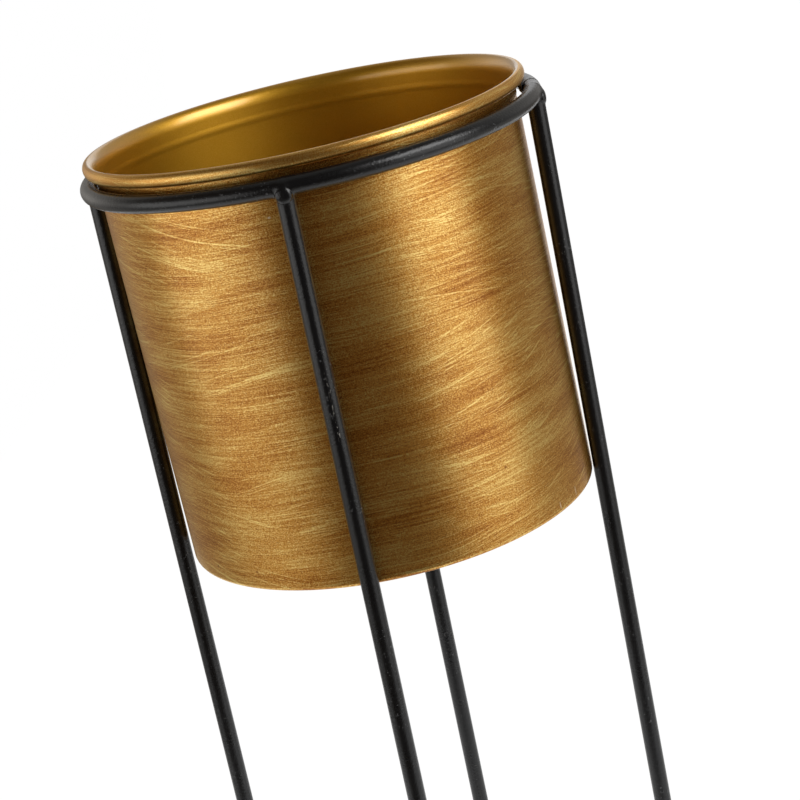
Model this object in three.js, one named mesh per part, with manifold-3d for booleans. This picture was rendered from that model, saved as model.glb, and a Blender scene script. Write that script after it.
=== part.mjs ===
// Plant stand: a brass pot that hangs in a ring on four straight rod legs.
// Millimetres, +Z up. The origin is on the floor, in the middle of the stand's outline.
import * as THREE from 'three'
import { mergeVertices } from 'three/addons/utils/BufferGeometryUtils.js'
import Module from 'manifold-3d'

// Driving dimensions of the pot
const wallRadius = 94.6 // outside
const sheet = 0.8 // wall thickness
const potDepth = 186.5 // centre of the rim's bead to the underside
const beadRadius = 2.9 // outside of the curled rim's section
const rimRise = 9.3 // bead's centre above the ring's centreline
const curlGap = 0.4 // slit between the curl's end and the wall
const grooveDrop = 10.5 // centre of the rolled groove below the bead's centre
const grooveDepth = 0.8
const grooveHalf = 2.4 // half of the groove's height
const cornerRadius = 2 // outside, where the wall turns under
const lipWidth = 8 // turned-in lip that carries the base
const baseThickness = 1

// Driving dimensions of the stand
const ringHeight = 588 // floor to the ring's centreline
const potPlay = 1.6 // room between the ring and the pot, all round if the pot is centred
const rodRadius = 4 // one rod size for the ring and the legs
const legOutset = 0.6 // leg centres outside of the ring's centreline
const legTop = 2 // highest point of a leg's coped end, below the ring's centreline
const weldNeck = 1.2 // thickness of a leg's weld where it runs out on the leg
const weldSpread = 3.4 // its widest thickness, under the ring
const weldDrop = 5 // how far it runs down the leg from the ring's underside
const weldRise = 1.2 // how far it climbs above the ring's centreline, outside
const weldStandout = 0.9 // how far it stands out past the leg's outer side
const weldRelief = 0.6 // how far it stays back from the ring's inside
const seamAngle = 6 // degrees round the ring from the right leg to the butt seam
const seamHeight = 1.4 // seam weld's centre above the ring's centreline
const seamReach = [1.9, 2.6, 2.8] // seam weld's radii: towards the pot, along the ring, up
const capWall = 1.3
const capHeight = 16
const capFloor = 3 // thickness under the leg's end
const capTaper = 0.4

const clearance = 0.3 // gap between pieces that touch

// Facets
const roundSides = 64
const ringSteps = 80
const rodSides = 16

const ringRadius = wallRadius + potPlay + rodRadius // centreline
const ringInside = ringRadius - rodRadius
const ringOutside = ringRadius + rodRadius
const legCircle = ringRadius + legOutset
const weldOutside = legCircle + rodRadius + weldStandout
const boreRadius = rodRadius + clearance
const capRadius = boreRadius + capWall

// The pot lies against the ring's left side, and the legs lean until the right one meets its foot
const potShift = potPlay - clearance
const footRoom = legCircle - rodRadius - clearance - (wallRadius - potShift)
const legLean = Math.atan(footRoom / (potDepth - rimRise))
const legLength = ringHeight / Math.cos(legLean)
const footShift = ringHeight * Math.tan(legLean)

// Where the outline ends to the left and right of the ring's centre, at a foot or at the top
const capReach = capRadius / Math.cos(legLean)
const leftReach = Math.max(legCircle + footShift + capReach, weldOutside, ringOutside)
const rightReach = Math.max(legCircle - footShift + capReach, weldOutside, ringOutside)
const ringCentre = new THREE.Vector3((leftReach - rightReach) / 2, 0, ringHeight)

const blackPaint = { color: 0x2a2c2e, roughness: 0.5, metalness: 0.3 }
const blackRubber = { color: 0x141414, roughness: 0.85, metalness: 0 }
const agedBrass = { color: 0x9a6c22, roughness: 0.38, metalness: 0.9 }
const goldPaint = { color: 0x8f6c1e, roughness: 0.45, metalness: 0.8 }

const wasm = await Module()
wasm.setup()

function solid(geometry) {
  const bare = geometry.clone()
  bare.deleteAttribute('normal')
  bare.deleteAttribute('uv')
  const merged = mergeVertices(bare, 1e-4)
  const vertProperties = new Float32Array(merged.attributes.position.array)
  const triVerts = new Uint32Array(merged.index.array)
  return new wasm.Manifold(new wasm.Mesh({ numProp: 3, vertProperties, triVerts }))
}

function geometryOf(manifold) {
  const mesh = manifold.getMesh()
  const geometry = new THREE.BufferGeometry()
  geometry.setAttribute('position', new THREE.BufferAttribute(mesh.vertProperties, 3))
  geometry.setIndex(new THREE.BufferAttribute(mesh.triVerts, 1))
  geometry.computeVertexNormals()
  return geometry
}

// Turns a profile of [radius, height] pairs, given anticlockwise, about the Z axis
function turned(profile, sides = roundSides) {
  const points = profile.map(([radius, height]) => new THREE.Vector2(radius, height))
  return new THREE.LatheGeometry(points, sides).rotateX(Math.PI / 2)
}

function arc(centre, radius, from, to, steps) {
  return Array.from({ length: steps + 1 }, (_, step) => {
    const angle = THREE.MathUtils.degToRad(from + ((to - from) * step) / steps)
    return [centre[0] + radius * Math.cos(angle), centre[1] + radius * Math.sin(angle)]
  })
}

function piece(name, geometry, look) {
  const mesh = new THREE.Mesh(geometry, new THREE.MeshStandardMaterial(look))
  mesh.name = name
  return mesh
}

// Stand

const rodTorus = (extra = 0) => new THREE.TorusGeometry(ringRadius, rodRadius + extra, rodSides, ringSteps)

function topRing() {
  return piece('top_ring', rodTorus(), blackPaint)
}

// A lump of weld on the inside of the ring, where the bent rod's ends meet
function seamWeld() {
  const lump = new THREE.SphereGeometry(1, rodSides, rodSides / 2)
  lump.scale(...seamReach).translate(ringInside, 0, seamHeight)
  lump.rotateZ(THREE.MathUtils.degToRad(seamAngle))
  return piece('ring_seam_weld', geometryOf(solid(lump).subtract(solid(rodTorus(clearance)))), blackPaint)
}

// A leg's own frame: its origin is on the ring's centreline circle, its Z runs up the leg
function legFrame(azimuth) {
  const frame = new THREE.Group()
  frame.position.set(legCircle * Math.cos(azimuth), legCircle * Math.sin(azimuth), 0)
  frame.rotation.y = legLean
  frame.updateMatrix()
  return frame
}

const seenFrom = (frame, geometry) => geometry.applyMatrix4(frame.matrix.clone().invert())

// An upright rod of the leg, from one height in its frame down to another
function upright(radius, top, bottom) {
  const rod = new THREE.CylinderGeometry(radius, radius, top - bottom, rodSides)
  return rod.rotateX(Math.PI / 2).translate(0, 0, (top + bottom) / 2)
}

function legRod(frame) {
  const rod = upright(rodRadius, -legTop, capFloor + clearance - legLength)
  return geometryOf(solid(rod).subtract(solid(seenFrom(frame, rodTorus(clearance)))))
}

// A fillet round the leg's top that leaves the ring's inside free, so that the pot can pass
function legWeld(frame) {
  const foot = -rodRadius - weldDrop
  const neck = rodRadius + weldNeck
  const spread = rodRadius + weldSpread
  const blob = turned([
    [0, foot],
    [neck, foot],
    [(2 * neck + spread) / 3, -rodRadius],
    [spread, -rodRadius / 3],
    [neck, weldRise],
    [0, weldRise],
  ], rodSides)
  const band = turned([
    [ringInside + weldRelief, 2 * foot],
    [weldOutside, 2 * foot],
    [weldOutside, 2 * weldRise],
    [ringInside + weldRelief, 2 * weldRise],
    [ringInside + weldRelief, 2 * foot],
  ], ringSteps)
  const hole = upright(boreRadius, clearance - legTop, 2 * foot)
  const shaped = solid(blob).intersect(solid(seenFrom(frame, band)))
  return geometryOf(shaped.subtract(solid(seenFrom(frame, rodTorus(clearance)))).subtract(solid(hole)))
}

// A sleeve on the leg's end with a blind bore, cut level with the floor
function footCap(frame) {
  const sleeve = turned([
    [0, -capRadius],
    [capRadius, -capRadius],
    [capRadius, capHeight - capTaper],
    [capRadius - capTaper, capHeight],
    [boreRadius, capHeight],
    [boreRadius, capFloor],
    [0, capFloor],
  ], rodSides)
  sleeve.translate(0, 0, -legLength)
  const floorBlock = new THREE.BoxGeometry(6 * capRadius, 6 * capRadius, 4 * capRadius)
  const foot = new THREE.Vector3(0, 0, -legLength).applyMatrix4(frame.matrix)
  floorBlock.translate(foot.x, foot.y, -ringHeight - 2 * capRadius)
  return geometryOf(solid(sleeve).subtract(solid(seenFrom(frame, floorBlock))))
}

function leg(name, azimuth) {
  const frame = legFrame(azimuth)
  frame.add(piece(`${name}_leg`, legRod(frame), blackPaint))
  frame.add(piece(`${name}_leg_weld`, legWeld(frame), blackPaint))
  frame.add(piece(`${name}_foot_cap`, footCap(frame), blackRubber))
  return frame
}

function stand() {
  const group = new THREE.Group()
  group.add(topRing(), seamWeld())
  const sides = ['right', 'back', 'left', 'front']
  sides.forEach((side, index) => group.add(leg(side, (2 * Math.PI * index) / sides.length)))
  return group
}

// Pot, measured from the centre of its bead

// One sheet: lip, corner, wall with its rolled groove, and a rim curled outwards
function potWall() {
  const inside = wallRadius - sheet
  const curl = [inside + beadRadius, 0]
  const curlInner = beadRadius - sheet
  const curlEnd = 180 + THREE.MathUtils.radToDeg(Math.acos((curlInner - curlGap) / beadRadius))
  const underside = -potDepth
  const corner = [wallRadius - cornerRadius, underside + cornerRadius]
  const groove = (radius) => [
    [radius, -grooveDrop - grooveHalf],
    [radius - grooveDepth, -grooveDrop - grooveHalf / 3],
    [radius - grooveDepth, -grooveDrop + grooveHalf / 3],
    [radius, -grooveDrop + grooveHalf],
  ]
  return turned([
    [wallRadius - lipWidth, underside],
    ...arc(corner, cornerRadius, -90, 0, 3),
    ...groove(wallRadius),
    ...arc(curl, curlInner, 180, curlEnd - 360, 10),
    ...arc(curl, beadRadius, curlEnd - 360, 180, 12),
    ...groove(inside).reverse(),
    ...arc(corner, cornerRadius - sheet, 0, -90, 3),
    [wallRadius - lipWidth, underside + sheet],
    [wallRadius - lipWidth, underside],
  ])
}

function potBase() {
  const radius = wallRadius - cornerRadius
  const bottom = -potDepth + sheet + clearance
  return turned([
    [0, bottom],
    [radius, bottom],
    [radius, bottom + baseThickness],
    [0, bottom + baseThickness],
  ])
}

function pot() {
  const group = new THREE.Group()
  group.position.set(-potShift, 0, rimRise)
  group.add(piece('pot_wall', potWall(), agedBrass), piece('pot_base', potBase(), goldPaint))
  return group
}

const plantStand = new THREE.Group()
plantStand.position.copy(ringCentre)
plantStand.add(stand(), pot())

export default plantStand
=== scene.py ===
import math

import bpy
from mathutils import Euler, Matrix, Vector


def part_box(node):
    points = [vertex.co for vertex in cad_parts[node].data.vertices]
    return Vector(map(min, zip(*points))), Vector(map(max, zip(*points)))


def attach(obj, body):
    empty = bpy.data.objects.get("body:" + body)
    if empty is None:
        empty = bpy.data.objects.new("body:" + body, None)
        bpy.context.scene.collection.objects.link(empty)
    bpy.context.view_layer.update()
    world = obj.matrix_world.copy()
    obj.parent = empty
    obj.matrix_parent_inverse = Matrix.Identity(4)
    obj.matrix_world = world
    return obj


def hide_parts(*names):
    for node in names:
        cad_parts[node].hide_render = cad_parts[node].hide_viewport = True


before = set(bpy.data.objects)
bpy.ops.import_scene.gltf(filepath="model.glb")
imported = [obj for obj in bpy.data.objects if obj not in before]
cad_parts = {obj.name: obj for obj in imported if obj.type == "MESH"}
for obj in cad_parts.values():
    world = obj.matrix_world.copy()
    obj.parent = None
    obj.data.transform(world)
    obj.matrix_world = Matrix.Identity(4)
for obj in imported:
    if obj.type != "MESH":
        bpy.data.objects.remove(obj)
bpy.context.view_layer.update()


# Top ring: one 8 mm steel rod bent into a circle and butt-welded, then powder-coated black.
# The whole stand hangs together from it, and the pot's rim stands just above it.

ROD_RADIUS = 0.0040
RING_STEPS = 1200
RING_SIDES = 36
CREASE_HALF = 0.0011
CREASE_DEPTH = 0.0004

ring_low, ring_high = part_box("top_ring")
ring_centre = (ring_low + ring_high) / 2
RING_RADIUS = (ring_high.x - ring_low.x) / 2 - ROD_RADIUS

seam_low, seam_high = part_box("ring_seam_weld")
seam_middle = (seam_low + seam_high) / 2
SEAM_TURN = math.atan2(seam_middle.y - ring_centre.y, seam_middle.x - ring_centre.x)

BLACK = (0.0034, 0.0042, 0.0056, 1)
# Worn coat colour: pale grey for the rubbed places, and partly a painted glint on them.
BLACK_WORN_AND_GLINT = (0.0900, 0.0940, 0.1000, 1)
PALE_FLECK = (0.3000, 0.2900, 0.2600, 1)
PEEL_SCALE = 900.0
CLOUD_SCALE = 55.0
RUB_AND_GLINT_SCALE = 700.0
RUBBED_AND_GLINT_PLACES_SCALE = 38.0


class Wire:
    """A shader or geometry socket, so that node maths reads as plain arithmetic."""

    def __init__(self, tree, socket=None):
        self.tree, self.socket = tree, socket

    def made(self, kind, values=(), settings=None, out=0):
        """Adds any node: its settings first, then the values or links of its sockets."""
        node = self.tree.nodes.new(kind)
        for name, value in (settings or {}).items():
            setattr(node, name, value)
        for key, value in dict(values).items():
            if isinstance(value, Wire):
                self.tree.links.new(value.socket, node.inputs[key])
            else:
                node.inputs[key].default_value = value
        return Wire(self.tree, node.outputs[out] if len(node.outputs) else None)

    def maths(self, operation, *others):
        """One Math node, with this wire as its first value."""
        return self.made("ShaderNodeMath", enumerate((self, *others)), {"operation": operation})

    def __add__(self, other):
        return self.maths("ADD", other)

    def __radd__(self, other):
        return self.maths("ADD", other)

    def __sub__(self, other):
        return self.maths("SUBTRACT", other)

    def __rsub__(self, other):
        return self.made("ShaderNodeMath", {0: other, 1: self}, {"operation": "SUBTRACT"})

    def __mul__(self, other):
        return self.maths("MULTIPLY", other)

    def __rmul__(self, other):
        return self.maths("MULTIPLY", other)

    def __truediv__(self, other):
        return self.maths("DIVIDE", other)

    def step(self, low, high, to_low=0.0, to_high=1.0):
        """A smooth step from to_low at low to to_high at high."""
        values = {"Value": self, "From Min": low, "From Max": high, "To Min": to_low, "To Max": to_high}
        return self.made("ShaderNodeMapRange", values, {"interpolation_type": "SMOOTHSTEP"})

    def blend(self, first, second):
        """Mixes two colours by this amount."""
        return self.made("ShaderNodeMix", {0: self, 6: first, 7: second}, {"data_type": "RGBA"}, out=2)

    def vectors(self, operation, values=(), out=0):
        """One Vector Math node, with this wire as its first value."""
        values = {0: self, **dict(values)}
        return self.made("ShaderNodeVectorMath", values, {"operation": operation}, out)

    def minus(self, other):
        return self.vectors("SUBTRACT", {1: other})

    def plus(self, other):
        return self.vectors("ADD", {1: other})

    def scaled(self, factor):
        return self.vectors("SCALE", {"Scale": factor})

    def dot(self, other):
        return self.vectors("DOT_PRODUCT", {1: other}, out="Value")

    def length(self):
        return self.vectors("LENGTH", out="Value")

    def split(self):
        """The x, y and z of a vector."""
        first = self.made("ShaderNodeSeparateXYZ", {0: self})
        return [Wire(self.tree, socket) for socket in first.socket.node.outputs]

    def noise(self, scale=1.0, detail=2.0, roughness=0.5):
        """Noise from 0 to 1 at this place; scale is how many lumps go in a metre."""
        values = {"Vector": self, "Scale": scale, "Detail": detail, "Roughness": roughness}
        return self.made("ShaderNodeTexNoise", values, {"noise_dimensions": "3D"})


def joined(x, y, z):
    """A vector from its three parts."""
    return x.made("ShaderNodeCombineXYZ", {"X": x, "Y": y, "Z": z})


def bumped(height, strength, distance):
    """A surface normal that follows a height pattern; distance is how high 1 stands, in metres."""
    return height.made("ShaderNodeBump", {"Height": height, "Strength": strength, "Distance": distance})


def new_finish(name, **constants):
    """A material with one Principled shader, its constants set, and a wire on object coordinates."""
    material = bpy.data.materials.new(name)
    material.use_nodes = True
    shader = material.node_tree.nodes["Principled BSDF"]
    for key, value in constants.items():
        shader.inputs[key.replace("_", " ")].default_value = value
    place = Wire(material.node_tree).made("ShaderNodeTexCoord", out="Object")
    return material, shader, place


def feed(shader, **wires):
    """Links what varies over the surface to the shader's sockets."""
    for key, wire in wires.items():
        wire.tree.links.new(wire.socket, shader.inputs[key.replace("_", " ")])


def powder_coat(name, scuffed=None):
    """Semi-matt black powder coat: faint orange peel, a few rubbed places whose pale grey is partly a
    painted glint, and, if given, a scuff.
    """
    material, shader, place = new_finish(name, Metallic=0.0, IOR=1.5)
    peel = place.noise(PEEL_SCALE, 2.0)
    cloud = place.noise(CLOUD_SCALE, 3.0)
    # Rubbed places: the coat is worn there, and their pale colour is partly a painted glint.
    rub_and_glint = place.noise(RUB_AND_GLINT_SCALE, 2.0, 0.65).step(0.62, 0.72)
    rub_and_glint = rub_and_glint * place.noise(RUBBED_AND_GLINT_PLACES_SCALE, 1.0).step(0.48, 0.60)
    colour = (rub_and_glint * 0.8).blend(BLACK, BLACK_WORN_AND_GLINT)
    if scuffed:
        flecks = scuffed(place)
        colour = (flecks * 0.8).blend(colour, PALE_FLECK)
        rub_and_glint = rub_and_glint + flecks
    feed(
        shader,
        Base_Color=colour,
        Roughness=0.22 + 0.12 * cloud + 0.10 * rub_and_glint,
        Normal=bumped(peel + 0.5 * rub_and_glint, 0.55, 0.0002),
    )
    return material


class Tree:
    """A Geometry Nodes tree with named inputs, built from wires."""

    def __init__(self, name, **sizes):
        self.tree = bpy.data.node_groups.new(name, "GeometryNodeTree")
        face = self.tree.interface
        face.new_socket("Geometry", in_out="INPUT", socket_type="NodeSocketGeometry")
        face.new_socket("Geometry", in_out="OUTPUT", socket_type="NodeSocketGeometry")
        for size, value in sizes.items():
            kind = "NodeSocketVector" if hasattr(value, "__len__") else "NodeSocketFloat"
            face.new_socket(size, in_out="INPUT", socket_type=kind).default_value = value
        self.inside = self.tree.nodes.new("NodeGroupInput")

    def __getitem__(self, name):
        """The wire of one of the tree's own inputs."""
        return Wire(self.tree, self.inside.outputs[name])

    def made(self, kind, values=(), settings=None, out=0):
        return Wire(self.tree).made(kind, values, settings, out)

    def circle(self, steps, radius):
        values = {"Resolution": steps, "Radius": radius}
        return self.made("GeometryNodeCurvePrimitiveCircle", values, out="Curve")

    def finish(self, geometry, finishes):
        """Ends the tree: smooth, real instances, and one Set Material per (selection, material)."""
        geometry = self.made("GeometryNodeSetShadeSmooth", {"Geometry": geometry, "Shade Smooth": True})
        geometry = self.made("GeometryNodeRealizeInstances", {"Geometry": geometry})
        for chosen, material in finishes:
            values = {"Geometry": geometry, "Material": material}
            if chosen is not None:
                values["Selection"] = chosen
            geometry = self.made("GeometryNodeSetMaterial", values)
        self.made("NodeGroupOutput", {"Geometry": geometry})
        return self


def grown(name, tree, base=None, **sizes):
    """A plain mesh object from a tree: sets the modifier's inputs, evaluates it and drops it."""
    piece = bpy.data.objects.new(name, base or bpy.data.meshes.new(name))
    bpy.context.collection.objects.link(piece)
    modifier = piece.modifiers.new(name, "NODES")
    modifier.node_group = tree.tree
    for item in tree.tree.interface.items_tree:
        if item.in_out == "INPUT" and item.name in sizes:
            modifier[item.identifier] = sizes[item.name]
    bpy.context.view_layer.update()
    evaluated = piece.evaluated_get(bpy.context.evaluated_depsgraph_get())
    mesh = bpy.data.meshes.new_from_object(evaluated)
    piece.modifiers.clear()
    piece.data = mesh
    mesh.name = name
    return piece


def fitted(piece, body, slot, *replaced):
    """Puts a piece on its body, in place of the plain nodes; slot is not used."""
    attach(piece, body)
    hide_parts(*replaced)


black_coat = powder_coat("black_powder_coat")


def bent_rod():
    """A round rod along a circle, sunk a little all round where its ends are welded together."""
    tree = Tree("bent_rod", Ring=0.1, Rod=0.004, Centre=(0, 0, 0), Seam=0.0, Half=0.001, Depth=0.0004)
    path = tree.circle(RING_STEPS, tree["Ring"])
    section = tree.circle(RING_SIDES, tree["Rod"])
    rod = tree.made("GeometryNodeCurveToMesh", {"Curve": path, "Profile Curve": section})
    x, y, _ = tree.made("GeometryNodeInputPosition").split()
    away = (y.maths("ARCTAN2", x) - tree["Seam"]).maths("ABSOLUTE") * tree["Ring"]
    dip = (away / tree["Half"]).step(0.0, 1.0, 1.0, 0.0) * tree["Depth"]
    inwards = tree.made("GeometryNodeInputNormal").scaled(dip * -1.0)
    rod = tree.made("GeometryNodeSetPosition", {"Geometry": rod, "Offset": inwards})
    rod = tree.made("GeometryNodeTransform", {"Geometry": rod, "Translation": tree["Centre"]})
    return tree.finish(rod, [(None, black_coat)])


ring = grown(
    "ring_rod", bent_rod(), Ring=RING_RADIUS, Rod=ROD_RADIUS, Centre=tuple(ring_centre),
    Seam=SEAM_TURN, Half=CREASE_HALF, Depth=CREASE_DEPTH,
)
fitted(ring, "stand", "black_paint", "top_ring")


# Legs: four straight rods of the same steel, butted under the ring. The stand is racked a little,
# so all four lean the same way and the right one just meets the pot's foot.

LEG_OUTSET = 0.0006
LEG_CIRCLE = RING_RADIUS + LEG_OUTSET
LEG_TOP = 0.0010
LEG_STEPS = 60
LEG_SIDES = 40
CAP_FLOOR = 0.0033
SIDES = {"right": 0, "back": 90, "left": 180, "front": 270}

foot_low, foot_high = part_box("front_foot_cap")
RACK = (foot_low.x + foot_high.x) / 2 - ring_centre.x
LEAN = -RACK / ring_centre.z

SCUFF_MIDDLE = 0.4960
SCUFF_HALF = 0.0190
SCUFF_WIDE = 0.0007
SCUFF_TURN = -71
FLECK_ACROSS = 1500.0
FLECK_ALONG = 420.0


def leg_spot(side, height):
    """The centre of a leg at a height."""
    turn = math.radians(SIDES[side])
    drop = 1 - height / ring_centre.z
    return Vector((
        ring_centre.x + LEG_CIRCLE * math.cos(turn) + RACK * drop,
        ring_centre.y + LEG_CIRCLE * math.sin(turn),
        height,
    ))


def scuff(place):
    """1 on the pale flecks of a long scuff down the front leg's right side."""
    turn = math.radians(SCUFF_TURN)
    out = Vector((math.cos(turn), math.sin(turn), 0)) * ROD_RADIUS
    x, y, z = place.minus(leg_spot("front", SCUFF_MIDDLE) + out).split()
    sideways = (x - z * LEAN).maths("ABSOLUTE")
    near = sideways.step(0.3 * SCUFF_WIDE, SCUFF_WIDE, 1.0, 0.0)
    near = near * y.step(0.3 * ROD_RADIUS, 0.5 * ROD_RADIUS, 1.0, 0.0)
    near = near * z.maths("ABSOLUTE").step(0.7 * SCUFF_HALF, SCUFF_HALF, 1.0, 0.0)
    flecks = joined(x * FLECK_ACROSS, y * FLECK_ACROSS, z * FLECK_ALONG).noise(1.0, 2.0, 0.6)
    return near * flecks.step(0.54, 0.66)


def straight_rod(name, coat):
    """A round rod between two points, closed at its ends."""
    tree = Tree(name, Rod=0.004, Top=(0, 0, 1), Bottom=(0, 0, 0))
    line = tree.made("GeometryNodeCurvePrimitiveLine", {"Start": tree["Bottom"], "End": tree["Top"]})
    line = tree.made("GeometryNodeResampleCurve", {"Curve": line, "Count": LEG_STEPS})
    section = tree.circle(LEG_SIDES, tree["Rod"])
    values = {"Curve": line, "Profile Curve": section, "Fill Caps": True}
    return tree.finish(tree.made("GeometryNodeCurveToMesh", values), [(None, coat)])


plain_rod = straight_rod("straight_rod", black_coat)
scuffed_rod = straight_rod("scuffed_rod", powder_coat("scuffed_powder_coat", scuff))
for side in SIDES:
    rod_tree = scuffed_rod if side == "front" else plain_rod
    top = leg_spot(side, ring_centre.z - LEG_TOP)
    bottom = leg_spot(side, CAP_FLOOR)
    leg = grown(f"{side}_leg_rod", rod_tree, Rod=ROD_RADIUS, Top=tuple(top), Bottom=tuple(bottom))
    fitted(leg, "stand", "black_paint", f"{side}_leg")


# Welds: a small fillet round each leg's top, under the coat, with a round plug of weld left standing
# on the outside. It stays off the ring's inside, where the pot goes through.

WELD_BLEND = 0.0022
WELD_REACH = 0.0125
WELD_NEAR = 0.0060
WELD_FAR = 0.0115
WELD_PROUD = 0.00004
WELD_SUNK = 0.00030
WELD_STEP = 0.00024
WELD_RIPPLE = 0.00016
RIPPLE_SCALE = 260.0
BLOCK_ROOM = 1.1
PLUG_RADIUS = 0.0036
PLUG_OUT = 0.0048
PLUG_DOME = 0.0090
PLUG_DROP = 0.0029
PLUG_BLEND = 0.0005
PLUG_ROUND = 0.0022


def off_ring(tree, place):
    """How far a place is from the ring's skin, less than 0 inside."""
    x, y, z = place.minus(tree["Centre"]).split()
    across = (x * x + y * y).maths("SQRT") - tree["Ring"]
    return (across * across + z * z).maths("SQRT") - tree["Rod"]


def off_leg(tree, from_joint):
    """The same for the leg, which runs down from the joint."""
    down = from_joint.dot(tree["Below"]).maths("MAXIMUM", 0.0)
    return from_joint.minus(tree["Below"].scaled(down)).length() - tree["Rod"]


def off_plug(tree, place):
    """The same for the plug: a low dome with a round side, on the outer half only."""
    from_plug = place.minus(tree["Plug"])
    outwards = from_plug.dot(tree["Out"])
    side = (from_plug.dot(from_plug) - outwards * outwards).maths("SQRT") - tree["Wide"]
    middle = tree["Out"].scaled(tree["Proud"] - tree["Dome"])
    dome = from_plug.minus(middle).length() - tree["Dome"]
    return dome.maths("SMOOTH_MAX", side, tree["Round"]).maths("MAXIMUM", outwards * -1.0)


def weld_fillet():
    """The ring, a leg and the plug blended into each other, kept only near their joint."""
    tree = Tree(
        "weld_fillet", Ring=0.1, Rod=0.004, Blend=0.003, Reach=0.0125, Step=0.0003, Ripple=0.0001,
        Centre=(0, 0, 0), Joint=(0, 0, 0), Below=(0, 0, -1), Plug=(0, 0, 0), Out=(1, 0, 0),
        Wide=0.003, Proud=0.005, Dome=0.009, Round=0.002, Crease=0.0006,
    )
    place = tree.made("GeometryNodeInputPosition")
    from_joint = place.minus(tree["Joint"])
    away = from_joint.length()
    blended = off_ring(tree, place).maths("SMOOTH_MIN", off_leg(tree, from_joint), tree["Blend"])
    blended = blended.maths("SMOOTH_MIN", off_plug(tree, place), tree["Crease"])
    ripple = place.noise(RIPPLE_SCALE, 1.0) - 0.5
    sunk = away.step(WELD_NEAR, WELD_FAR, -WELD_PROUD, WELD_SUNK)
    shape = blended + sunk + ripple * tree["Ripple"]
    shape = shape.maths("MAXIMUM", away - tree["Reach"])
    return tree.finish(weld_skin(tree, shape), [(None, black_coat)])


def weld_skin(tree, shape):
    """The skin where shape is 0, in a block of small cubes round the joint."""
    half = joined(tree["Reach"], tree["Reach"], tree["Reach"]).scaled(BLOCK_ROOM)
    count = tree["Reach"] * (2 * BLOCK_ROOM) / tree["Step"]
    cloud = tree.made("GeometryNodeVolumeCube", {
        "Density": shape * -1.0, "Background": -1.0,
        "Min": tree["Joint"].minus(half), "Max": tree["Joint"].plus(half),
        "Resolution X": count, "Resolution Y": count, "Resolution Z": count,
    })
    return tree.made("GeometryNodeVolumeToMesh", {"Volume": cloud, "Threshold": 0.0, "Adaptivity": 0.0})


weld_tree = weld_fillet()
for side in SIDES:
    joint = leg_spot(side, ring_centre.z - LEG_TOP)
    below = (leg_spot(side, 0) - joint).normalized()
    outwards = Vector((joint.x - ring_centre.x, joint.y - ring_centre.y, 0)).normalized()
    plug = (joint.x, joint.y, ring_centre.z - PLUG_DROP)
    weld = grown(
        f"{side}_weld_fillet", weld_tree, Ring=RING_RADIUS, Rod=ROD_RADIUS, Blend=WELD_BLEND,
        Reach=WELD_REACH, Step=WELD_STEP, Ripple=WELD_RIPPLE,
        Centre=tuple(ring_centre), Joint=tuple(joint), Below=tuple(below),
        Plug=plug, Out=tuple(outwards), Wide=PLUG_RADIUS, Proud=PLUG_OUT,
        Dome=PLUG_DOME, Round=PLUG_ROUND, Crease=PLUG_BLEND,
    )
    fitted(weld, "stand", "black_paint", f"{side}_leg_weld")


# Seam weld: a lump on the ring's inside, just behind the right leg, where the bent rod's ends meet.
# It was left unground, and the coat covers it.

LUMP_SMALLEST = 0.84
LUMP_SWELL = 0.3
LUMP_SCALE = 1.6


def weld_lump():
    """A small rippled ball of weld, drawn out to three reaches."""
    tree = Tree("weld_lump", Middle=(0, 0, 0), Reach=(0.001, 0.001, 0.001))
    ball = tree.made("GeometryNodeMeshIcoSphere", {"Radius": 1.0, "Subdivisions": 5})
    place = tree.made("GeometryNodeInputPosition")
    swollen = place.scaled(LUMP_SMALLEST + place.noise(LUMP_SCALE, 2.0) * LUMP_SWELL)
    ball = tree.made("GeometryNodeSetPosition", {"Geometry": ball, "Position": swollen})
    values = {"Geometry": ball, "Translation": tree["Middle"], "Scale": tree["Reach"]}
    return tree.finish(tree.made("GeometryNodeTransform", values), [(None, black_coat)])


seam_reach = (seam_high - seam_low) / 2
seam = grown("seam_lump", weld_lump(), Middle=tuple(seam_middle), Reach=tuple(seam_reach))
fitted(seam, "stand", "black_paint", "ring_seam_weld")


# Foot caps: moulded black rubber sleeves pushed over the legs' ends, flat on the floor.
# Their edges are rounded, and a moulding line runs round them near the floor.

CAP_RADIUS = 0.0056
CAP_BORE = 0.0042
CAP_HEIGHT = 0.0160
CAP_SIDES = 48
MERGE = 0.00001
CAP_PROFILE = [
    (0.0, 0.0), (0.0048, 0.0), (0.0053, 0.0002), (CAP_RADIUS, 0.0007),
    (CAP_RADIUS, 0.0030), (0.0055, 0.0034), (CAP_RADIUS, 0.0038),
    (CAP_RADIUS, 0.0150), (0.0055, 0.0156), (0.0051, CAP_HEIGHT), (0.0044, CAP_HEIGHT),
    (CAP_BORE, 0.0156), (CAP_BORE, CAP_FLOOR), (0.0, CAP_FLOOR),
]
RUBBER_BLACK = (0.012, 0.012, 0.012, 1)
RUBBER_DUSTY = (0.035, 0.034, 0.032, 1)
RUBBER_GRAIN_SCALE = 1500.0
DUST_SCALE = 160.0


def rubber():
    """Matt moulded rubber with fine grain and a little dust."""
    material, shader, place = new_finish("black_rubber", Metallic=0.0, IOR=1.45)
    grain = place.noise(RUBBER_GRAIN_SCALE, 3.0, 0.6)
    dust = place.noise(DUST_SCALE, 4.0, 0.6).step(0.45, 0.75)
    feed(
        shader,
        Base_Color=(dust * 0.6).blend(RUBBER_BLACK, RUBBER_DUSTY),
        Roughness=0.66 + 0.14 * dust,
        Normal=bumped(grain, 0.3, 0.0001),
    )
    return material


def chain_mesh(name, profile):
    """A chain of edges in the XZ plane, from radius and height pairs."""
    mesh = bpy.data.meshes.new(name)
    mesh.from_pydata([(r, 0, z) for r, z in profile], [(i, i + 1) for i in range(len(profile) - 1)], [])
    return mesh


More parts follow.
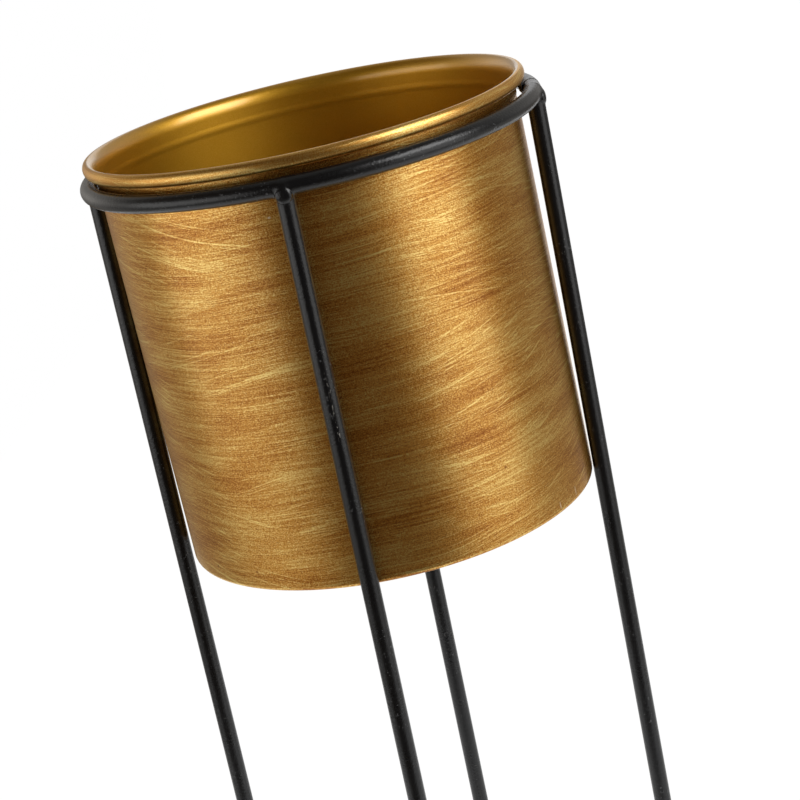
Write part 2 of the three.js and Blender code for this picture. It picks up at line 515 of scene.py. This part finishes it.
def turned_shell(name, sides, finishes):
    """Spins the chain of edges it is given about an upright axis, then leans and moves the result."""
    tree = Tree(name, Spot=(0, 0, 0), Lean=0.0)
    made, chain = tree.made, tree["Geometry"]
    count = made("GeometryNodeAttributeDomainSize", {"Geometry": chain}, out="Point Count")
    grid = {"Size X": 1.0, "Size Y": 1.0, "Vertices X": sides + 1, "Vertices Y": count}
    index = made("GeometryNodeInputIndex")
    column = (index / count).maths("FLOOR")
    row = index - column * count
    values = {"Geometry": chain, "Value": made("GeometryNodeInputPosition"), "Index": row}
    radius, _, height = made("GeometryNodeSampleIndex", values, {"data_type": "FLOAT_VECTOR"}).split()
    turn = column * (2 * math.pi / sides)
    x = radius * turn.maths("COSINE") + height * tree["Lean"]
    y = radius * turn.maths("SINE")
    shell = made("GeometryNodeMeshGrid", grid)
    shell = made("GeometryNodeSetPosition", {"Geometry": shell, "Position": joined(x, y, height)})
    shell = made("GeometryNodeMergeByDistance", {"Geometry": shell, "Distance": MERGE})
    shell = made("GeometryNodeTransform", {"Geometry": shell, "Translation": tree["Spot"]})
    return tree.finish(shell, [(pick(tree) if pick else None, look) for pick, look in finishes])


cap_tree = turned_shell("turned_cap", CAP_SIDES, [(None, rubber())])
for side in SIDES:
    line = chain_mesh(f"{side}_cap_line", CAP_PROFILE)
    cap = grown(f"{side}_rubber_cap", cap_tree, line, Spot=tuple(leg_spot(side, 0)), Lean=LEAN)
    fitted(cap, "stand", "black_rubber", f"{side}_foot_cap")


# Pot wall: one 0.8 mm steel sheet, brass-finished outside and brushed by hand with a dark patina,
# gold paint inside. Its rim is curled outwards, with a rolled groove below it.

WALL = 0.0946
SHEET = 0.0008
BEAD = 0.0029
DEPTH = 0.1865
CORNER = 0.0020
LIP = 0.0080
WALL_SIDES = 360
GROOVE_DROP = 0.0105
GROOVE_DEPTH = 0.0004
GROOVE_INSIDE = 0.0001
GROOVE_HALF = 0.0024
GROOVE_FLATNESS = 0.8
GROOVE_STEPS = 14
FLARE_OUT = 0.0036
FLARE_HIGH = 0.0070
CURL_END = -160
CREST_DROP = 0.0001
BEAD_ABOVE_RING = 0.0093

wall_low, wall_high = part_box("pot_wall")
POT_X = (wall_low.x + wall_high.x) / 2
POT_Z = ring_centre.z + BEAD_ABOVE_RING


def arc(centre, across, up, start, end, steps):
    """Points along an ellipse, given its half width and half height."""
    points = []
    for step in range(steps + 1):
        turn = math.radians(start + (end - start) * step / steps)
        points.append((centre[0] + across * math.cos(turn), centre[1] + up * math.sin(turn)))
    return points


def groove(radius, deep):
    """The rolled groove's soft valley, from below to above."""
    points = []
    for step in range(GROOVE_STEPS + 1):
        along = step / GROOVE_STEPS
        depth = deep * (0.5 - 0.5 * math.cos(2 * math.pi * along)) ** GROOVE_FLATNESS
        points.append((radius - depth, -GROOVE_DROP + GROOVE_HALF * (2 * along - 1)))
    return points


def upright_line(radius, low, high, steps=24):
    return [(radius, low + (high - low) * step / steps) for step in range(1, steps)]


def sheet_profile():
    """The sheet's closed outline: lip, corner, wall, flare and curl, back down the inside."""
    inside = WALL - SHEET
    crest = (inside + FLARE_OUT, -CREST_DROP)
    flare = (inside + FLARE_OUT, BEAD - CREST_DROP - FLARE_HIGH)
    curl = 2 * BEAD - FLARE_OUT
    corner = (WALL - CORNER, CORNER - DEPTH)
    low, high = CORNER - DEPTH, -GROOVE_DROP - GROOVE_HALF
    outline = [(WALL - LIP, -DEPTH)]
    outline += arc(corner, CORNER, CORNER, -90, 0, 10)
    outline += upright_line(WALL, low, high)
    outline += groove(WALL, GROOVE_DEPTH)
    outline += arc(flare, FLARE_OUT - SHEET, FLARE_HIGH - SHEET, 180, 90, 16)
    outline += arc(crest, curl - SHEET, BEAD - SHEET, 90, CURL_END, 24)[1:]
    outline += arc(crest, curl, BEAD, CURL_END, 90, 40)
    outline += arc(flare, FLARE_OUT, FLARE_HIGH, 90, 180, 24)[1:]
    outline += groove(inside, GROOVE_INSIDE)[::-1]
    outline += upright_line(inside, high, low)
    outline += arc(corner, CORNER - SHEET, CORNER - SHEET, 0, -90, 8)
    outline += [(WALL - LIP, SHEET - DEPTH), (WALL - LIP, -DEPTH)]
    return outline


BRASS_BARE = (0.880, 0.690, 0.240, 1)
BRASS_MIDDLE = (0.590, 0.275, 0.044, 1)
BRASS_DARK = (0.250, 0.072, 0.007, 1)
BRASS_EDGE = (0.95, 0.78, 0.55, 1)
PALE_NICK = (0.95, 0.85, 0.65, 1)

# Strokes rise and fall in waves round the pot: how steeply, where the wave starts, and how long and
# wide a stroke is. The seed only sets one kind apart from another.
WAVES = 2
FINE_BRUSHING = dict(slant=0.04, phase=0.4, length=0.040, width=0.00050, seed=1.0)
PATINA_BANDS = dict(slant=0.10, phase=0.9, length=0.045, width=0.01300, seed=4.0)
LEVEL_SCRATCHES = dict(slant=0.05, phase=0.4, length=0.110, width=0.00095, seed=2.0)
RISING_SCRATCHES = dict(slant=0.26, phase=4.36, length=0.110, width=0.00100, seed=5.0)
FALLING_SCRATCHES = dict(slant=0.24, phase=1.22, length=0.110, width=0.00100, seed=7.0)
SCRATCH_EDGE = 0.034
DRIFT = 0.016
DRIFT_SCALE = 8.0
CURL_STRETCH = 1.3
GRAIN_ACROSS, GRAIN_UP = 2100.0, 2300.0
REGION_ACROSS, REGION_UP = 20.0, 24.0
# Depths below the bead's middle where the rim's lighter band begins and is full: less patina there, and
# partly a painted sheen.
RIM_FROM, RIM_FULL = 0.0040, 0.0025

# Single marks: degrees round the pot, metres below the rim, half width and half height
DARK_SPECKS = [
    (-141, 0.1788, 0.0009, 0.0009), (-124, 0.1777, 0.0009, 0.0008), (-49, 0.1530, 0.0008, 0.0008),
]
PALE_NICKS = [
    (-95, 0.0219, 0.0008, 0.0006), (-23, 0.1818, 0.0004, 0.0026), (-32, 0.1825, 0.0004, 0.0020),
]


class WallPlace:
    """Where a point lies on the pot's wall, with the hand marks that a brush or a knock leaves there."""

    def __init__(self, place):
        self.x, self.y, self.z = x, y, z = place.minus((POT_X, 0, 0)).split()
        self.around = y.maths("ARCTAN2", x)
        self.along = z - CURL_STRETCH * (x * x + y * y).maths("SQRT")
        self.drift = place.noise(DRIFT_SCALE, 1.0) - 0.5

    def grain(self):
        x, y = self.x * GRAIN_ACROSS, self.y * GRAIN_ACROSS
        return joined(x, y, self.along * GRAIN_UP).noise(1.0, 1.0, 0.6) - 0.5

    def strokes(self, slant, phase, length, width, seed, detail=1.0):
        """Streaks along sloping arcs: a lower slant lies flatter round the pot."""
        wave = (self.around * WAVES + phase).maths("SINE")
        height = self.along + wave * (slant / WAVES * WALL) + self.drift * DRIFT + seed
        where = joined(self.x * (1 / length), self.y * (1 / length), height * (1 / width))
        return where.noise(1.0, detail, 0.6) - 0.5

    def scratches(self, **stroke):
        """Thin pale lines: where a soft streak pattern passes through its middle value."""
        streak = self.strokes(**stroke, detail=0.0)
        return streak.maths("ABSOLUTE").step(0.0, SCRATCH_EDGE, 1.0, 0.0)

    def mark(self, turn, below, wide, high):
        """1 on a small oval mark, this many degrees round the pot and this far below the rim."""
        sideways = (self.around - math.radians(turn)) * (WALL / wide)
        upright = (self.z - (POT_Z - below)) * (1 / high)
        return (sideways * sideways + upright * upright).step(0.3, 1.0, 1.0, 0.0)


def scratched(wall):
    """All the scratches: each slant is thicker in its own regions of the wall."""
    x, y = wall.x * REGION_ACROSS, wall.y * REGION_ACROSS
    region = joined(x, y, wall.z * REGION_UP).noise(1.0, 1.0)
    level = wall.scratches(**LEVEL_SCRATCHES) * region.step(0.34, 0.62, 1.0, 0.3)
    rising = wall.scratches(**RISING_SCRATCHES) * region.step(0.46, 0.60)
    falling = wall.scratches(**FALLING_SCRATCHES) * region.step(0.40, 0.54, 1.0, 0.0)
    return 0.7 * level + rising + 0.8 * falling


def brushed_brass():
    """Cross-brushed brass plate: thin curved strokes at several slants, fine grain and brown patina, and a
    lighter rim that is partly a painted sheen.
    """
    material, shader, place = new_finish(
        "brushed_brass", Metallic=1.0, Anisotropic=0.2, Anisotropic_Rotation=0.25,
        Coat_Weight=0.40, Coat_Roughness=0.25, Coat_IOR=1.5, Specular_Tint=BRASS_EDGE,
    )
    wall = WallPlace(place)
    fine, grain, lines = wall.strokes(**FINE_BRUSHING), wall.grain(), scratched(wall)
    marks = 0.85 * fine + 0.68 * wall.strokes(**PATINA_BANDS) + 1.75 * grain + 0.44 * lines
    # The rim's band is worn smoother with less patina, and its lighter tone is partly a painted sheen.
    rim = wall.z.step(POT_Z - RIM_FROM, POT_Z - RIM_FULL)
    tone = 0.44 + marks * (1 - 0.45 * rim) + 0.16 * rim
    colour = tone.step(0.0, 0.55).blend(BRASS_DARK, BRASS_MIDDLE)
    colour = tone.step(0.45, 1.0).blend(colour, BRASS_BARE)
    for speck in DARK_SPECKS:
        colour = (wall.mark(*speck) * 0.8).blend(colour, BRASS_DARK)
    for nick in PALE_NICKS:
        colour = (wall.mark(*nick) * 0.7).blend(colour, PALE_NICK)
    feed(
        shader,
        Base_Color=colour,
        Roughness=0.41 - 0.08 * tone,
        Normal=bumped(fine + grain + 0.3 * lines, 0.35, 0.00006),
    )
    return material


GOLD = (0.680, 0.375, 0.032, 1)
GOLD_DEEP = (0.560, 0.285, 0.006, 1)
FLAKE_SCALE = 1700.0
SPRAY_SCALE = 30.0


def gold_paint():
    """Sprayed metallic gold paint, with fine flake."""
    material, shader, place = new_finish(
        "gold_paint", Metallic=0.92, Coat_Weight=1.0, Coat_Roughness=0.20, Coat_IOR=1.60,
    )
    flake = place.noise(FLAKE_SCALE, 2.0, 0.7)
    spray = place.noise(SPRAY_SCALE, 3.0)
    feed(
        shader,
        Base_Color=(spray * 0.5 + flake.step(0.3, 0.7) * 0.5).blend(GOLD_DEEP, GOLD),
        Roughness=0.36 + 0.12 * flake,
        Normal=bumped(flake, 0.3, 0.0001),
    )
    return material


def painted_side(tree):
    """The faces that the gold paint covers: those that look inwards, up to the rim's crest."""
    x, y, z = tree.made("GeometryNodeInputPosition").split()
    facing_x, facing_y, _ = tree.made("GeometryNodeInputNormal").split()
    inwards = (facing_x * (x - POT_X) + facing_y * y).maths("LESS_THAN", 0.0)
    return inwards * z.maths("GREATER_THAN", POT_Z - DEPTH + SHEET * 0.5)


brass_look = brushed_brass()
gold_look = gold_paint()
pot_spot = (POT_X, 0, POT_Z)
wall_tree = turned_shell("turned_sheet", WALL_SIDES, [(None, brass_look), (painted_side, gold_look)])
wall = grown("pot_sheet", wall_tree, chain_mesh("sheet_line", sheet_profile()), Spot=pot_spot)
fitted(wall, "pot", "aged_brass", "pot_wall")


# Pot base: a flat disc that lies on the turned-in lip and closes the pot's bottom.
# It is painted gold with the inside.

BASE_LIFT = SHEET + 0.0003
BASE_THICK = 0.0010
BASE_RINGS = 24
BASE_SIDES = 180


def base_profile():
    """The disc's outline: its underside from the middle out, then its top back to the middle."""
    low = BASE_LIFT - DEPTH
    radii = [(WALL - CORNER) * (1 - ring / BASE_RINGS) for ring in range(BASE_RINGS + 1)]
    return [(r, low) for r in radii[::-1]] + [(r, low + BASE_THICK) for r in radii]


base_tree = turned_shell("turned_disc", BASE_SIDES, [(None, gold_look)])
base = grown("pot_disc", base_tree, chain_mesh("disc_line", base_profile()), Spot=pot_spot)
fitted(base, "pot", "gold_paint", "pot_base")


# The studio: a pale paper sweep under and behind the stand, and soft boxes to its right and left.
# The paper and the room look near white, while the room's own light on the stand stays dim.

SWEEP_FRONT = -0.45
SWEEP_BACK = 2.6
SWEEP_HALF = 0.7
SWEEP_BEND = 0.6
SWEEP_TOP = 2.6
SWEEP_STEPS = 12
PAPER = (0.86, 0.86, 0.86, 1)
WHITE = (1.0, 1.0, 1.0, 1)
GLOW_NEAR = (1.36, 1.36, 1.36, 1)
GLOW_FAR = (1.08, 1.08, 1.08, 1)
SHADOW_REACH = (0.20, 0.50)


def seen_white(start, lit):
    """lit for light that falls on things, and near white for what the camera and metal see.

    Close to the stand more of the lit paper shows, so that the stand's shadow does too.
    """
    seen = start.made("ShaderNodeLightPath", out="Is Camera Ray")
    for name in ("Is Glossy Ray", "Is Transmission Ray"):
        seen = seen.maths("MAXIMUM", start.made("ShaderNodeLightPath", out=name))
    x, y, _ = start.made("ShaderNodeTexCoord", out="Object").split()
    reach = (x * x + y * y).maths("SQRT")
    glow = start.made("ShaderNodeEmission", {"Color": reach.step(*SHADOW_REACH).blend(GLOW_NEAR, GLOW_FAR)})
    share = reach.step(*SHADOW_REACH, 0.60, 0.92)
    return start.made("ShaderNodeMixShader", {0: seen * share, 1: lit, 2: glow})


def paper():
    material = bpy.data.materials.new("pale_paper")
    material.use_nodes = True
    material.node_tree.nodes.clear()
    start = Wire(material.node_tree)
    lit = start.made("ShaderNodeBsdfDiffuse", {"Color": PAPER, "Roughness": 0.5})
    start.made("ShaderNodeOutputMaterial", {"Surface": seen_white(start, lit)})
    return material


def sweep():
    """Paper that lies on the floor and bends up behind the stand."""
    profile = [(SWEEP_FRONT, 0.0), (SWEEP_BACK, 0.0)]
    bend = arc((SWEEP_BACK, SWEEP_BEND), SWEEP_BEND, SWEEP_BEND, -90, 0, SWEEP_STEPS)
    profile += bend[1:] + [(SWEEP_BACK + SWEEP_BEND, SWEEP_TOP)]
    points = [(side * SWEEP_HALF, y, z) for y, z in profile for side in (-1, 1)]
    faces = [(2 * i, 2 * i + 1, 2 * i + 3, 2 * i + 2) for i in range(len(profile) - 1)]
    mesh = bpy.data.meshes.new("paper_sweep")
    mesh.from_pydata(points, [], faces)
    mesh.materials.append(paper())
    floor = bpy.data.objects.new("paper_sweep", mesh)
    bpy.context.collection.objects.link(floor)


sweep()


def soft_box(name, azimuth, distance, width, low, high, glow):
    """An upright lamp panel that faces the stand; glow is how bright its face is, and 1 is white."""
    light = bpy.data.lights.new(name, "AREA")
    light.shape, light.size, light.size_y = "RECTANGLE", width, high - low
    light.energy = glow * math.pi * width * (high - low)
    lamp = bpy.data.objects.new(name, light)
    bpy.context.collection.objects.link(lamp)
    turn = math.radians(azimuth)
    lamp.location = (distance * math.cos(turn), distance * math.sin(turn), (low + high) / 2)
    lamp.rotation_euler = (math.pi / 2, 0, turn + math.pi / 2)


soft_box("right_box", azimuth=-25, distance=1.60, width=1.20, low=-0.12, high=1.90, glow=1.22)
soft_box("right_key", azimuth=-29, distance=1.55, width=1.25, low=0.90, high=1.90, glow=4.2)
soft_box("left_box", azimuth=-147.5, distance=1.60, width=1.90, low=0.00, high=1.10, glow=1.02)

ROOM = (1.0, 0.95, 0.88, 1)
DUSK_TINT = (1.0, 0.64, 0.32, 1)
DUSK = 0.06


def studio_air():
    """What the rest of the room sends: warm dusk in front, paler sides and back, white if looked at."""
    world = bpy.data.worlds.new("studio")
    bpy.context.scene.world = world
    world.use_nodes = True
    world.node_tree.nodes.clear()
    start = Wire(world.node_tree)
    x, y, z = start.made("ShaderNodeTexCoord", out="Generated").split()
    left = x.step(-0.85, -0.35, 0.54, 0.0) * z.step(0.10, 0.55, 1.0, 0.15) * z.step(-0.30, 0.05, 0.50, 1.0)
    right = x.step(0.35, 0.85, 0.0, 0.45) * z.step(-0.42, -0.20, 1.0, 0.25)
    behind = y.step(0.10, 0.60, 0.0, 0.38) * z.step(-0.30, 0.05, 0.20, 1.0)
    ends = z.step(-0.80, -0.50, 0.50, 0.0) + z.step(0.80, 1.00, 0.0, 0.20)
    room = left + right + behind + ends
    seen = start.made("ShaderNodeLightPath", out="Is Camera Ray")
    tint = seen.blend(room.step(0.0, 0.2).blend(DUSK_TINT, ROOM), WHITE)
    level = (DUSK + room) * (1 - seen) + seen
    air = start.made("ShaderNodeBackground", {"Color": tint, "Strength": level})
    start.made("ShaderNodeOutputWorld", {"Surface": air})


studio_air()


# The camera: a long lens a metre off, a little above the rim, and rolled so that the upright stand
# leans to the left in the picture.

CAMERA_SPOT = (0.15016, -0.94744, 0.75243)
CAMERA_TURNS = (72.6139, 12.3193, 4.0879)
LENS = 98.0
SENSOR = 36.0

camera_data = bpy.data.cameras.new("camera")
camera_data.lens, camera_data.sensor_width = LENS, SENSOR
camera_data.clip_start, camera_data.clip_end = 0.05, 30.0
camera = bpy.data.objects.new("camera", camera_data)
bpy.context.collection.objects.link(camera)
camera.location = CAMERA_SPOT
camera.rotation_euler = Euler([math.radians(turn) for turn in CAMERA_TURNS])
bpy.context.scene.camera = camera
bpy.context.scene.view_settings.view_transform = "Standard"
